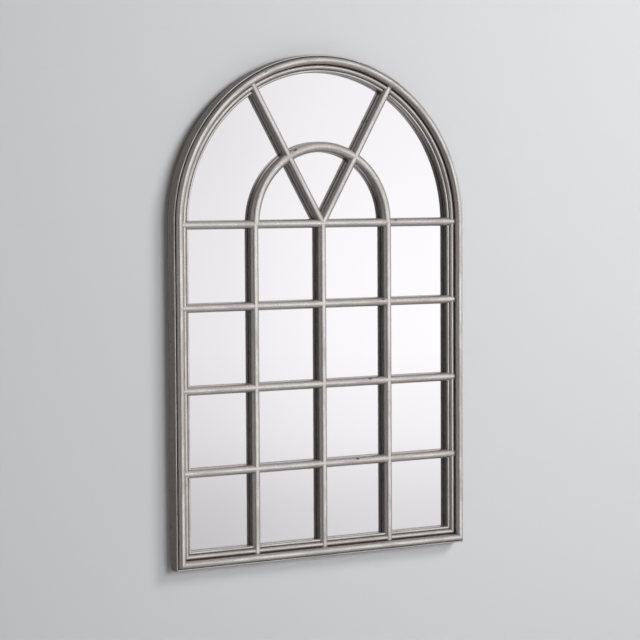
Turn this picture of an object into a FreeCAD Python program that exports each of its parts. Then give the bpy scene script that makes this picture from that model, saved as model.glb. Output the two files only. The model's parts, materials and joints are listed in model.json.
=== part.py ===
import FreeCAD
import Part
import math
import os

V = FreeCAD.Vector

# Arched window mirror, in millimetres. Front faces -Y, +Z is up, +X is to the viewer's right.
# A place on a frame member is given by u, inwards from its outer edge, and v, forwards from its back plane.

# overall
WIDTH = 800.0
HEIGHT = 1200.0
COLUMNS = 4
ROWS = 4

# frame moulding
FACE_WIDTH = 42.0
SIDE_HEIGHT = 28.0
ARRIS_RADIUS = 2.0
QUIRK_WIDTH = 1.0
QUIRK_FLOOR = 26.5
BEAD_RADIUS = 8.5
BEAD_SHOULDER = 31.5
GROOVE_FLOOR = 25.0
RIDGE_A_U = 29.0
RIDGE_A_V = 22.0
RIDGE_A_RADIUS = 5.6
RIDGE_B_V = 19.4
RIDGE_B_RADIUS = 3.6
VALLEY_FLOOR = 21.6

# sheets behind the bars
BOARD_THICK = 3.0
GLASS_THICK = 3.0
GLASS_LAP = 8.0
BOARD_LAP = 17.0
GLASS_CLEAR = 1.0
BOARD_CLEAR = 0.5

# glazing bars
BAR_WIDTH = 21.0
BAR_SHOULDER = 18.5
BAR_CROWN = 29.0
ARCH_BAR_WIDTH = 25.0
ARCH_BAR_CROWN = 29.4
RAY_ANGLE = 60.0
BAR_END_GAP = 0.6

# dowels in the frame joints
DOWEL_RADIUS = 3.0
DOWEL_LENGTH = 30.0
DOWEL_V = 13.0
DOWEL_U_OUTER = 9.0
DOWEL_U_INNER = 21.0
MITRE_DOWEL_U_OUTER = 14.0
MITRE_DOWEL_U_INNER = 21.0

# steel plates let into the back of the frame joints
HARDWARE_U = 13.5
PLATE_WIDTH = 16.0
PLATE_THICK = 2.0
PLATE_CORNER = 3.0
PLATE_CLEAR = 0.15
JOINT_PLATE_LENGTH = 92.0
BRACE_LEG = 76.0
PLATE_SCREW_NEAR = 27.0
PLATE_SCREW_FAR = 38.0
BRACE_SCREW_NEAR = 38.0
BRACE_SCREW_FAR = 68.0

# screws: shank radius, length, head radius, head height
PLATE_SCREW = (1.75, 16.0, 3.4, 1.7)
BOARD_SCREW = (1.25, 12.0, 2.5, 1.3)
HANGER_SCREW = (1.75, 17.0, 3.5, 2.2)
SCREW_POINT = 3.0
CROSS_WIDTH = 0.8
CROSS_DEPTH = 0.9
CROSS_SHARE = 0.62
BOARD_SCREW_PITCH = 185.0

# hangers
STRAP_WIDTH = 16.0
STRAP_LENGTH = 52.0
STRAP_THICK = 1.4
STRAP_SCREW_NEAR = 28.0
STRAP_SCREW_FAR = 43.0
EYE_STANDOFF = 3.4
EYE_WALL = 1.4
EYE_CLEAR = 0.08
EYE_DROP = 76.0
RING_WIRE_RADIUS = 1.5
RING_SIDE_CLEAR = 0.6
RING_CORNER = 3.0
RING_LEG = 4.0

# soft pads that meet the wall
BUMPER_RADIUS = 10.0
BUMPER_THICK = 7.0
BUMPER_EDGE = 1.5
BUMPER_HEIGHT = 100.0

# worked out from the values above
RADIUS = WIDTH / 2
BOTTOM = RADIUS - HEIGHT
BEAD_U = 2 * ARRIS_RADIUS + QUIRK_WIDTH + BEAD_RADIUS
GROOVE_U = BEAD_U + BEAD_RADIUS
GLASS_BACK = BOARD_THICK
GLASS_FRONT = BOARD_THICK + GLASS_THICK
GLASS_REBATE_U = FACE_WIDTH - GLASS_LAP
BOARD_REBATE_U = FACE_WIDTH - BOARD_LAP
BOARD_SCREW_U = (BOARD_REBATE_U + GLASS_REBATE_U) / 2
LAP_PLANE = (GLASS_FRONT + BAR_CROWN) / 2
STOP_U = GROOVE_U + BAR_END_GAP
OPENING_RADIUS = RADIUS - FACE_WIDTH
PANE_WIDTH = (2 * OPENING_RADIUS - (COLUMNS - 1) * BAR_WIDTH) / COLUMNS
COLUMN_PITCH = PANE_WIDTH + BAR_WIDTH
PANE_HEIGHT = (HEIGHT - RADIUS - FACE_WIDTH - (ROWS - 0.5) * BAR_WIDTH) / ROWS
ROW_PITCH = PANE_HEIGHT + BAR_WIDTH
ARCH_BAR_RADIUS = COLUMN_PITCH + BAR_WIDTH / 2 - ARCH_BAR_WIDTH / 2
EYE_BORE = RING_WIRE_RADIUS + EYE_CLEAR
RING_HALF = STRAP_WIDTH / 2 + RING_SIDE_CLEAR + RING_CORNER
RING_REACH = RING_CORNER + RING_LEG + RING_HALF - RING_WIRE_RADIUS
HOOK_DROP = EYE_DROP - RING_REACH
REACH = 2.0 * HEIGHT

# from the spring line's centre on the frame's back plane to the hanging line on the wall
SHIFT = V(0, -BUMPER_THICK, HOOK_DROP)


def line(a, b):
    return Part.LineSegment(a, b).toShape()


def arc(a, b, c):
    return Part.Arc(a, b, c).toShape()


def mirrored(shape):
    """The same piece on the other side of the plane X = 0."""
    return shape.mirror(V(0, 0, 0), V(1, 0, 0))


def slab(low, high):
    """A flat layer of space between two values of v."""
    return Part.makeBox(2 * REACH, high - low, 2 * REACH, V(-REACH, -high, -REACH))


def circle_u(centre_u, centre_v, radius, v):
    """How far a round ridge reaches on each side of its centre at height v."""
    half = math.sqrt(radius ** 2 - (v - centre_v) ** 2)
    return centre_u - half, centre_u + half


def moulding():
    """The frame's section as a face in the plane Z = 0, with its outer edge on the left at X = -RADIUS."""

    def at(u, v):
        return V(-RADIUS + u, -v, 0)

    arris_u = 2 * ARRIS_RADIUS
    bead_left = arris_u + QUIRK_WIDTH
    a_left = circle_u(RIDGE_A_U, RIDGE_A_V, RIDGE_A_RADIUS, GROOVE_FLOOR)[0]
    a_right = circle_u(RIDGE_A_U, RIDGE_A_V, RIDGE_A_RADIUS, VALLEY_FLOOR)[1]
    b_u = FACE_WIDTH - RIDGE_B_RADIUS
    b_left = circle_u(b_u, RIDGE_B_V, RIDGE_B_RADIUS, VALLEY_FLOOR)[0]
    edges = [
        line(at(0, 0), at(0, SIDE_HEIGHT)),
        arc(at(0, SIDE_HEIGHT), at(ARRIS_RADIUS, SIDE_HEIGHT + ARRIS_RADIUS), at(arris_u, SIDE_HEIGHT)),
        line(at(arris_u, SIDE_HEIGHT), at(arris_u, QUIRK_FLOOR)),
        line(at(arris_u, QUIRK_FLOOR), at(bead_left, QUIRK_FLOOR)),
        line(at(bead_left, QUIRK_FLOOR), at(bead_left, BEAD_SHOULDER)),
        arc(at(bead_left, BEAD_SHOULDER), at(BEAD_U, BEAD_SHOULDER + BEAD_RADIUS), at(GROOVE_U, BEAD_SHOULDER)),
        line(at(GROOVE_U, BEAD_SHOULDER), at(GROOVE_U, GROOVE_FLOOR)),
        line(at(GROOVE_U, GROOVE_FLOOR), at(a_left, GROOVE_FLOOR)),
        arc(at(a_left, GROOVE_FLOOR), at(RIDGE_A_U, RIDGE_A_V + RIDGE_A_RADIUS), at(a_right, VALLEY_FLOOR)),
        line(at(a_right, VALLEY_FLOOR), at(b_left, VALLEY_FLOOR)),
        arc(at(b_left, VALLEY_FLOOR), at(b_u, RIDGE_B_V + RIDGE_B_RADIUS), at(FACE_WIDTH, RIDGE_B_V)),
    ]
    corners = [
        at(FACE_WIDTH, RIDGE_B_V),
        at(FACE_WIDTH, GLASS_FRONT),
        at(GLASS_REBATE_U, GLASS_FRONT),
        at(GLASS_REBATE_U, GLASS_BACK),
        at(BOARD_REBATE_U, GLASS_BACK),
        at(BOARD_REBATE_U, 0),
        at(0, 0),
    ]
    edges += [line(a, b) for a, b in zip(corners, corners[1:])]
    return Part.Face(Part.Wire(edges))


def mitre_wedge():
    """The space below the bottom left corner's 45 degree joint."""
    over = FACE_WIDTH
    corners = [
        V(-RADIUS - over, over, BOTTOM - over),
        V(-RADIUS + 2 * over, over, BOTTOM + 2 * over),
        V(-RADIUS + 2 * over, over, BOTTOM - over),
    ]
    return Part.Face(Part.makePolygon(corners + corners[:1])).extrude(V(0, -4 * over, 0))


def left_stile():
    section = moulding()
    section.translate(V(0, 0, BOTTOM))
    return section.extrude(V(0, 0, -BOTTOM)).cut(mitre_wedge())


def bottom_rail():
    """The moulding laid along X, cut to both mitres."""
    section = moulding()
    section.translate(V(RADIUS, 0, 0))
    section.rotate(V(0, 0, 0), V(0, 1, 0), -90)
    section.translate(V(-RADIUS, 0, BOTTOM))
    rail = section.extrude(V(WIDTH, 0, 0))
    keep = mitre_wedge().fuse(half_space(-RADIUS + FACE_WIDTH))
    return rail.common(keep).common(mirrored(keep))


def half_space(x):
    """Everything to the right of x."""
    return Part.makeBox(REACH, REACH, 2 * REACH, V(x, -REACH / 2, -REACH))


def left_arch():
    return moulding().revolve(V(0, 0, 0), V(0, 1, 0), 90)


def bar_section(width, crown):
    """A glazing bar's D section as a face in the plane Z = 0, its back on the glass."""
    half = width / 2
    back_left, shoulder_left = V(-half, -GLASS_FRONT, 0), V(-half, -BAR_SHOULDER, 0)
    back_right, shoulder_right = V(half, -GLASS_FRONT, 0), V(half, -BAR_SHOULDER, 0)
    edges = [
        line(back_left, shoulder_left),
        arc(shoulder_left, V(0, -crown, 0), shoulder_right),
        line(shoulder_right, back_right),
        line(back_right, back_left),
    ]
    return Part.Face(Part.Wire(edges))


def upright(x):
    """A bar from the bottom rail's groove to the middle of the spring bar."""
    low = BOTTOM + STOP_U
    bar = bar_section(BAR_WIDTH, BAR_CROWN)
    bar.translate(V(x, 0, low))
    return bar.extrude(V(0, 0, -low))


def cross_bar(z):
    """A bar from the left stile's groove to the right one's."""
    half = RADIUS - STOP_U
    bar = bar_section(BAR_WIDTH, BAR_CROWN)
    bar.rotate(V(0, 0, 0), V(0, 1, 0), 90)
    bar.translate(V(-half, 0, z))
    return bar.extrude(V(2 * half, 0, 0))


def ray():
    """The right-hand slanted bar, from the hub to the outer arch's groove."""
    length = RADIUS - STOP_U
    bar = bar_section(BAR_WIDTH, BAR_CROWN).extrude(V(0, 0, length + BAR_WIDTH))
    bar.rotate(V(0, 0, 0), V(0, 1, 0), 90 - RAY_ANGLE)
    disc = Part.makeCylinder(length, 2 * BAR_CROWN, V(0, 0, 0), V(0, -1, 0))
    upper_right = Part.makeBox(REACH, 2 * BAR_CROWN, REACH, V(0, -2 * BAR_CROWN, 0))
    return bar.common(disc).common(upper_right)


def inner_arch():
    """The half-round bar whose outer side lines up with the outer uprights."""
    section = bar_section(ARCH_BAR_WIDTH, ARCH_BAR_CROWN)
    section.translate(V(-ARCH_BAR_RADIUS, 0, 0))
    return section.revolve(V(0, 0, 0), V(0, 1, 0), 180)


def over_lap(bar):
    return bar.common(slab(LAP_PLANE, 2 * BAR_CROWN))


def under_lap(bar):
    return bar.common(slab(0, LAP_PLANE))


def half_lap(front, behind):
    """Halves two crossing bars into each other: the first stays whole at the front."""
    return front.cut(under_lap(behind)), behind.cut(over_lap(front))


def arched_sheet(edge_u, back, thick):
    """A flat sheet whose edge follows the frame at edge_u."""
    half = RADIUS - edge_u
    low = BOTTOM + edge_u
    at_spring_left, at_spring_right = V(-half, -back, 0), V(half, -back, 0)
    low_left, low_right = V(-half, -back, low), V(half, -back, low)
    edges = [
        line(low_left, at_spring_left),
        arc(at_spring_left, V(0, -back, half), at_spring_right),
        line(at_spring_right, low_right),
        line(low_right, low_left),
    ]
    return Part.Face(Part.Wire(edges)).extrude(V(0, -thick, 0))


def rounded_plate(width, height, thick, corner):
    """A flat plate centred on the origin, its back at Y = 0 and its thickness towards the front."""
    plate = Part.makeBox(width, thick, height, V(-width / 2, -thick, -height / 2))
    uprights = [e for e in plate.Edges if abs(e.tangentAt(e.FirstParameter).y) > 0.5]
    return plate.makeFillet(corner, uprights)


def screw(size, domed=False):
    """A wood screw driven towards the front, with its head's seat at Y = 0 if domed, else flush."""
    shank, length, head, head_height = size
    if domed:
        top = V(0, head_height, 0)
        profile = [arc(top, V(head * CROSS_SHARE, head_height * CROSS_SHARE, 0), V(head, 0, 0)),
                   line(V(head, 0, 0), V(shank, 0, 0))]
        neck = V(shank, 0, 0)
    else:
        top = V(0, 0, 0)
        neck = V(shank, -head_height, 0)
        profile = [line(top, V(head, 0, 0)), line(V(head, 0, 0), neck)]
    tip = V(0, -length, 0)
    point = V(shank, -length + SCREW_POINT, 0)
    profile += [line(neck, point), line(point, tip), line(tip, top)]
    return Part.Face(Part.Wire(profile)).revolve(V(0, 0, 0), V(0, 1, 0), 360)


def cross_slot(size, domed=False):
    """The cross-shaped recess of a screw's head."""
    _, _, head, head_height = size
    top = head_height if domed else 0.0
    span = head * CROSS_SHARE * 2
    blade = Part.makeBox(span, 2 * CROSS_DEPTH, CROSS_WIDTH, V(-span / 2, top - CROSS_DEPTH, -CROSS_WIDTH / 2))
    other = blade.copy()
    other.rotate(V(0, 0, 0), V(0, 1, 0), 90)
    return blade.fuse(other)


def moved(shape, place):
    copy = shape.copy()
    copy.translate(place)
    return copy


def screws_at(size, places, domed=False):
    """Plain screws to cut holes with, and the same screws with their recesses."""
    blank = screw(size, domed)
    finished = blank.cut(cross_slot(size, domed))
    return [moved(blank, p) for p in places], [moved(finished, p) for p in places]


def straight_dowel(place, axis):
    """One dowel centred on place."""
    start = place - axis * (DOWEL_LENGTH / 2)
    return Part.makeCylinder(DOWEL_RADIUS, DOWEL_LENGTH, start, axis)


def frame_dowels():
    """Two dowels in each of the frame's five joints."""
    dowels = []
    for u in (DOWEL_U_OUTER, DOWEL_U_INNER):
        dowels.append(straight_dowel(V(-RADIUS + u, -DOWEL_V, 0), V(0, 0, 1)))
        dowels.append(straight_dowel(V(RADIUS - u, -DOWEL_V, 0), V(0, 0, 1)))
        dowels.append(straight_dowel(V(0, -DOWEL_V, RADIUS - u), V(1, 0, 0)))
    slant = math.sqrt(0.5)
    for u in (MITRE_DOWEL_U_OUTER, MITRE_DOWEL_U_INNER):
        dowels.append(straight_dowel(V(-RADIUS + u, -DOWEL_V, BOTTOM + u), V(slant, 0, -slant)))
        dowels.append(straight_dowel(V(RADIUS - u, -DOWEL_V, BOTTOM + u), V(-slant, 0, -slant)))
    return dowels


def joint_plate(centre, along_x, clear):
    """A straight plate, or the recess for it when clear is more than nothing."""
    length, width = JOINT_PLATE_LENGTH + 2 * clear, PLATE_WIDTH + 2 * clear
    size = (length, width) if along_x else (width, length)
    return moved(rounded_plate(*size, PLATE_THICK, PLATE_CORNER + clear), centre)


def corner_brace(clear):
    """The bottom left corner's L-shaped plate, or the recess for it."""
    width, length = PLATE_WIDTH + 2 * clear, BRACE_LEG + 2 * clear
    inset = HARDWARE_U - PLATE_WIDTH / 2 - clear
    up = rounded_plate(width, length, PLATE_THICK, PLATE_CORNER + clear)
    along = rounded_plate(length, width, PLATE_THICK, PLATE_CORNER + clear)
    up.translate(V(-RADIUS + inset + width / 2, 0, BOTTOM + inset + length / 2))
    along.translate(V(-RADIUS + inset + length / 2, 0, BOTTOM + inset + width / 2))
    return up.fuse(along).removeSplitter()


def joint_plate_places():
    """Each straight plate's name, centre and direction."""
    side = RADIUS - HARDWARE_U
    return {
        "joint_plate_left": (V(-side, 0, 0), False),
        "joint_plate_right": (V(side, 0, 0), False),
        "joint_plate_crown": (V(0, 0, side), True),
    }


def plate_screw_places():
    """Where the screws of the straight plates and of both corner braces stand."""
    places = []
    for centre, along_x in joint_plate_places().values():
        step = V(1, 0, 0) if along_x else V(0, 0, 1)
        for distance in (-PLATE_SCREW_FAR, -PLATE_SCREW_NEAR, PLATE_SCREW_NEAR, PLATE_SCREW_FAR):
            places.append(centre + step * distance)
    for distance in (BRACE_SCREW_NEAR, BRACE_SCREW_FAR):
        for side in (-1, 1):
            places.append(V(side * (RADIUS - HARDWARE_U), 0, BOTTOM + distance))
            places.append(V(side * (RADIUS - distance), 0, BOTTOM + HARDWARE_U))
    return places


def board_screw_places():
    """Screws spread evenly round the backing board's margin."""
    side = RADIUS - BOARD_SCREW_U
    low = BOTTOM + BOARD_SCREW_U
    places = []
    per_arch = round(math.pi * side / BOARD_SCREW_PITCH)
    for i in range(per_arch):
        angle = math.pi * (i + 0.5) / per_arch
        places.append(V(side * math.cos(angle), 0, side * math.sin(angle)))
    per_side = round(-low / BOARD_SCREW_PITCH)
    for i in range(per_side):
        z = low * (i + 0.5) / per_side
        places += [V(-side, 0, z), V(side, 0, z)]
    per_rail = round(2 * side / BOARD_SCREW_PITCH)
    for i in range(per_rail):
        places.append(V(-side + 2 * side * (i + 0.5) / per_rail, 0, low))
    return places


def hanger_strap():
    """A strap around X = 0 with its eye's axis on the origin's height, and the strap hanging below."""
    plate = rounded_plate(STRAP_WIDTH, STRAP_LENGTH, STRAP_THICK, PLATE_CORNER)
    plate.translate(V(0, STRAP_THICK, -STRAP_LENGTH / 2))
    half = STRAP_WIDTH / 2
    eye = Part.makeCylinder(EYE_BORE + EYE_WALL, STRAP_WIDTH, V(-half, EYE_STANDOFF, 0), V(1, 0, 0))
    bore = Part.makeCylinder(EYE_BORE, STRAP_WIDTH, V(-half, EYE_STANDOFF, 0), V(1, 0, 0))
    return plate.fuse(eye).removeSplitter().cut(bore)


def hanger_ring():
    """A D-shaped wire ring around the same axis as the strap's eye, hanging down."""
    wire = RING_WIRE_RADIUS
    straight = RING_HALF - RING_CORNER
    bow = -RING_CORNER - RING_LEG
    pieces = [Part.makeCylinder(wire, 2 * straight, V(-straight, 0, 0), V(1, 0, 0))]
    for side in (-1, 1):
        disc = Part.Face(Part.Wire(Part.makeCircle(wire, V(side * straight, 0, 0), V(1, 0, 0))))
        pieces.append(disc.revolve(V(side * straight, 0, -RING_CORNER), V(0, 1, 0), side * 90))
        pieces.append(Part.makeCylinder(wire, RING_LEG, V(side * RING_HALF, 0, bow), V(0, 0, 1)))
    disc = Part.Face(Part.Wire(Part.makeCircle(wire, V(RING_HALF, 0, bow), V(0, 0, 1))))
    pieces.append(disc.revolve(V(0, 0, bow), V(0, 1, 0), 180))
    ring = pieces[0].multiFuse(pieces[1:]).removeSplitter()
    ring.translate(V(0, EYE_STANDOFF, 0))
    return ring


def wall_bumper():
    """A round soft pad with a bevelled rim, its flat back towards the wall."""
    pad = Part.makeCylinder(BUMPER_RADIUS, BUMPER_THICK, V(0, 0, 0), V(0, 1, 0))
    rim = [e for e in pad.Edges if e.BoundBox.YMin > BUMPER_THICK / 2]
    return pad.makeChamfer(BUMPER_EDGE, rim)


def frame_members():
    """The five mouldings before any hole is cut in them."""
    stile, arch = left_stile(), left_arch()
    return {
        "left_stile": stile,
        "right_stile": mirrored(stile),
        "bottom_rail": bottom_rail(),
        "arch_left": arch,
        "arch_right": mirrored(arch),
    }


def glazing_bars():
    """Every bar, halved into the bars that it crosses."""
    uprights = [upright((i + 1 - COLUMNS / 2) * COLUMN_PITCH) for i in range(COLUMNS - 1)]
    crosses = [cross_bar(-i * ROW_PITCH) for i in range(ROWS)]
    for i in range(len(uprights)):
        for j in range(len(crosses)):
            uprights[i], crosses[j] = half_lap(uprights[i], crosses[j])
    arch = inner_arch()
    rays = []
    for bar in (mirrored(ray()), ray()):
        bar, arch = half_lap(bar, arch)
        rays.append(bar.cut(crosses[0]))
    arch = arch.cut(crosses[0])
    bars = {f"glazing_bar_{i + 1}": bar for i, bar in enumerate(uprights)}
    bars["spring_bar"] = crosses[0]
    bars.update({f"cross_bar_{i}": bar for i, bar in enumerate(crosses) if i > 0})
    bars.update({"inner_arch": arch, "ray_left": rays[0], "ray_right": rays[1]})
    return bars


def joint_hardware(nodes):
    """Dowels, plates and their screws, each let into the wood that it holds."""
    dowels = frame_dowels()
    cuts = list(dowels)
    blanks, finished = screws_at(PLATE_SCREW, plate_screw_places())
    plates = {name: joint_plate(centre, along_x, 0) for name, (centre, along_x) in joint_plate_places().items()}
    cuts += [joint_plate(centre, along_x, PLATE_CLEAR) for centre, along_x in joint_plate_places().values()]
    plates["corner_brace_left"] = corner_brace(0)
    plates["corner_brace_right"] = mirrored(corner_brace(0))
    cuts += [corner_brace(PLATE_CLEAR), mirrored(corner_brace(PLATE_CLEAR))]
    for name, plate in plates.items():
        nodes[name] = plate.cut(blanks)
    nodes["plate_screws"] = Part.makeCompound(finished)
    nodes["frame_dowels"] = Part.makeCompound(dowels)
    return cuts + blanks


def hangers(nodes):
    """Straps, rings and their screws on the backs of both stiles."""
    blanks, finished = [], []
    for name, side in (("left", -1), ("right", 1)):
        place = V(side * (RADIUS - HARDWARE_U), 0, -EYE_DROP)
        seats = [place + V(0, STRAP_THICK, -d) for d in (STRAP_SCREW_NEAR, STRAP_SCREW_FAR)]
        some_blanks, some_finished = screws_at(HANGER_SCREW, seats, domed=True)
        nodes[f"hanger_strap_{name}"] = moved(hanger_strap(), place).cut(some_blanks)
        nodes[f"hanger_ring_{name}"] = moved(hanger_ring(), place)
        blanks += some_blanks
        finished += some_finished
    nodes["hanger_screws"] = Part.makeCompound(finished)
    return blanks


def main():
    os.makedirs("parts", exist_ok=True)
    nodes = {}
    members = frame_members()
    for name, bar in glazing_bars().items():
        nodes[name] = bar.cut(list(members.values()))
    cuts = joint_hardware(nodes) + hangers(nodes)
    board_blanks, board_screws = screws_at(BOARD_SCREW, board_screw_places())
    for name, member in members.items():
        nodes[name] = member.cut(cuts + board_blanks)
    nodes["mirror_glass"] = arched_sheet(GLASS_REBATE_U + GLASS_CLEAR, GLASS_BACK, GLASS_THICK)
    board = arched_sheet(BOARD_REBATE_U + BOARD_CLEAR, 0, BOARD_THICK)
    nodes["backing_board"] = board.cut(board_blanks)
    nodes["board_screws"] = Part.makeCompound(board_screws)
    pads = [moved(wall_bumper(), V(side * (RADIUS - HARDWARE_U), 0, BOTTOM + BUMPER_HEIGHT)) for side in (-1, 1)]
    nodes["wall_bumpers"] = Part.makeCompound(pads)
    for name, shape in nodes.items():
        shape.translate(SHIFT)
        shape.exportStep(f"parts/{name}.step")
        print(name, len(shape.Solids), round(shape.Volume), shape.isValid())


main()
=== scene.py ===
"""Arched window mirror: softened silver mouldings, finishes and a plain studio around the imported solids."""

from __future__ import annotations

import json
import logging
import math
import random
from dataclasses import dataclass, field
from enum import Enum
from typing import Callable, Sequence

import bmesh
import bpy
import numpy as np
from mathutils import Matrix, Vector

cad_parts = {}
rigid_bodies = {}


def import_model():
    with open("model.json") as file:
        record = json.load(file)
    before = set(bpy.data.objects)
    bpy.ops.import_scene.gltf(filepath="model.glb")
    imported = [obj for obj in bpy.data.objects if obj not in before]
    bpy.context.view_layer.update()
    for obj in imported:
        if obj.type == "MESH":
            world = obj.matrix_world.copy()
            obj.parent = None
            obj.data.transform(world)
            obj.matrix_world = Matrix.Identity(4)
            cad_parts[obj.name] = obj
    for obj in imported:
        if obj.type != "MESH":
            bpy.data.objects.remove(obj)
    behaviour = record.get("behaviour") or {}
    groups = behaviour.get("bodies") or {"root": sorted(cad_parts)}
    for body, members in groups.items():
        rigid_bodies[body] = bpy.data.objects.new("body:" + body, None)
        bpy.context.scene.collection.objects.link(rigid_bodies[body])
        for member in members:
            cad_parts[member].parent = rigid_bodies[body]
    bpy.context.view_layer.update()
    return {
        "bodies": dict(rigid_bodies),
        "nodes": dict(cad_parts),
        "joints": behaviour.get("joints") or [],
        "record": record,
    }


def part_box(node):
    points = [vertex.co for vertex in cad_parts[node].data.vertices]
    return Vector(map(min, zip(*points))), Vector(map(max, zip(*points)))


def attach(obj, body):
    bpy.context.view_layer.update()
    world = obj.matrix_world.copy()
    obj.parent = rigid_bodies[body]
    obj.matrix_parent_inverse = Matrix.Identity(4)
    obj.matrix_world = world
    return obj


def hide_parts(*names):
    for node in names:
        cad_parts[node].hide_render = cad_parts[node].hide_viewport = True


MM = 0.001
NO_WOOD = -99.0
UV_NAME = "along_across"
LOG = logging.getLogger("arched_window_mirror")

Pair = tuple[float, float]
Triple = tuple[float, float, float]
Colour = tuple[float, float, float, float]
Places = tuple[np.ndarray, np.ndarray, np.ndarray]
Path = Callable[[np.ndarray, np.ndarray], Places]
HeightField = Callable[[np.ndarray, np.ndarray], np.ndarray]
Limits = Callable[[float], Pair]
Socket = bpy.types.NodeSocket
Node = bpy.types.Node
Material = bpy.types.Material
Piece = bpy.types.Object


class Side(Enum):
    """Which half of the mirror a piece is on, seen from the front."""

    LEFT = -1
    RIGHT = 1


class Mask(Enum):
    """Numbers kept on a piece's points for its finish."""

    # hollows and creases, darkened with wax and painted shade
    CAVITY = "cavity"
    CREST = "crest"


class Kind(Enum):
    """The kinds of member, each with the start of its random order."""

    STILE = 11
    RAIL = 21
    ARCH = 31
    UPRIGHT = 40
    CROSS = 50
    INNER_ARCH = 60
    RAY = 70


# ---------------------------------------------------------------- places and sections


@dataclass(frozen=True)
class WorkFrame:
    """Where the mirror's spring line and back plane stand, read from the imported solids. In millimetres."""

    radius: float
    bottom: float
    back_y: float
    spring_z: float

    @classmethod
    def read(cls) -> WorkFrame:
        """Measures the left stile's solid.

        Returns:
            The places that every new piece is built from.
        """
        low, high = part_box("left_stile")
        return cls(-low.x / MM, (low.z - high.z) / MM, high.y / MM, high.z / MM)

    def points(self, x: np.ndarray, v: np.ndarray, s: np.ndarray) -> np.ndarray:
        """Turns places on the mirror into the row frame.

        Args:
            x: Distances to the right of the centre line.
            v: Heights in front of the frame's back plane.
            s: Heights above the spring line.

        Returns:
            Points in metres, in one array with a last axis of three.
        """
        return np.stack(np.broadcast_arrays(x, self.back_y - v, s + self.spring_z), axis=-1) * MM


def arc(centre: Pair, radius: float, start: float, end: float, steps: int = 24) -> list[Pair]:
    """Points of an arc in a section.

    Args:
        centre: The arc's middle.
        radius: Its radius.
        start: First angle in degrees, from the u axis.
        end: Last angle in degrees.
        steps: How many straight pieces it has.

    Returns:
        The points, both ends among them.
    """
    angles = np.radians(np.linspace(start, end, steps + 1))
    return [(centre[0] + radius * math.cos(a), centre[1] + radius * math.sin(a)) for a in angles]


@dataclass(frozen=True)
class Section:
    """A closed outline of a moulding, with its corners softened as leaf over gesso softens them."""

    corners: tuple[Pair, ...]
    hollows: tuple[Triple, ...] = ()
    ridges: tuple[Triple, ...] = ()
    softness: float = 0.32
    grid: float = 0.2
    turn: float = math.radians(8.5)
    longest: float = 3.2

    def outline(self) -> np.ndarray:
        """The softened outline with its points close together only where it turns.

        Returns:
            An array of (u, v) pairs in millimetres, without the first point repeated.
        """
        loop = np.array(self.corners + self.corners[:1], float)
        at = np.concatenate([[0.0], np.cumsum(np.hypot(*np.diff(loop, axis=0).T))])
        count = int(at[-1] / self.grid)
        stations = np.arange(count) * at[-1] / count
        dense = np.stack([np.interp(stations, at, loop[:, k]) for k in (0, 1)], axis=1)
        reach = int(4 * self.softness / self.grid)
        weights = np.exp(-0.5 * (np.arange(-reach, reach + 1) * self.grid / self.softness) ** 2)
        weights /= weights.sum()
        soft = sum(w * np.roll(dense, k, axis=0) for k, w in zip(range(-reach, reach + 1), weights))
        steps = np.roll(soft, -1, axis=0) - soft
        heading = np.unwrap(np.arctan2(steps[:, 1], steps[:, 0]))
        kept, last_turn, last_at = [0], heading[0], 0.0
        for i in range(1, count):
            if abs(heading[i] - last_turn) > self.turn or stations[i] - last_at > self.longest:
                kept.append(i)
                last_turn, last_at = heading[i], stations[i]
        return soft[kept]

    @staticmethod
    def nearness(points: np.ndarray, spots: Sequence[Triple]) -> np.ndarray:
        """How close each point is to the nearest of some spots.

        Args:
            points: (u, v) pairs.
            spots: Places as (u, v, reach).

        Returns:
            A number from 0 to 1 for each point.
        """
        near = np.zeros(points.shape[:-1])
        for u, v, reach in spots:
            away = (points[..., 0] - u) ** 2 + (points[..., 1] - v) ** 2
            near = np.maximum(near, np.exp(-away / reach**2))
        return near


class Ripple:
    """A smooth uneven line made of a few waves, the same on each run."""

    def __init__(self, seed: int, lengths: Sequence[float], amplitude: float) -> None:
        """Draws the waves.

        Args:
            seed: The random order's start.
            lengths: Wavelengths in millimetres.
            amplitude: The largest distance that all the waves give together.
        """
        draw = random.Random(seed)
        turn = 2 * math.pi
        self.waves = [(turn / (length * draw.uniform(0.8, 1.2)), draw.uniform(0, turn)) for length in lengths]
        self.amplitude = amplitude

    def __call__(self, at: np.ndarray) -> np.ndarray:
        """The line's distance, never below nothing, at places along it."""
        total = sum(np.sin(k * at + phase) for k, phase in self.waves)
        return self.amplitude * (0.5 + 0.5 * total / len(self.waves))


# ---------------------------------------------------------------- mesh making


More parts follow.
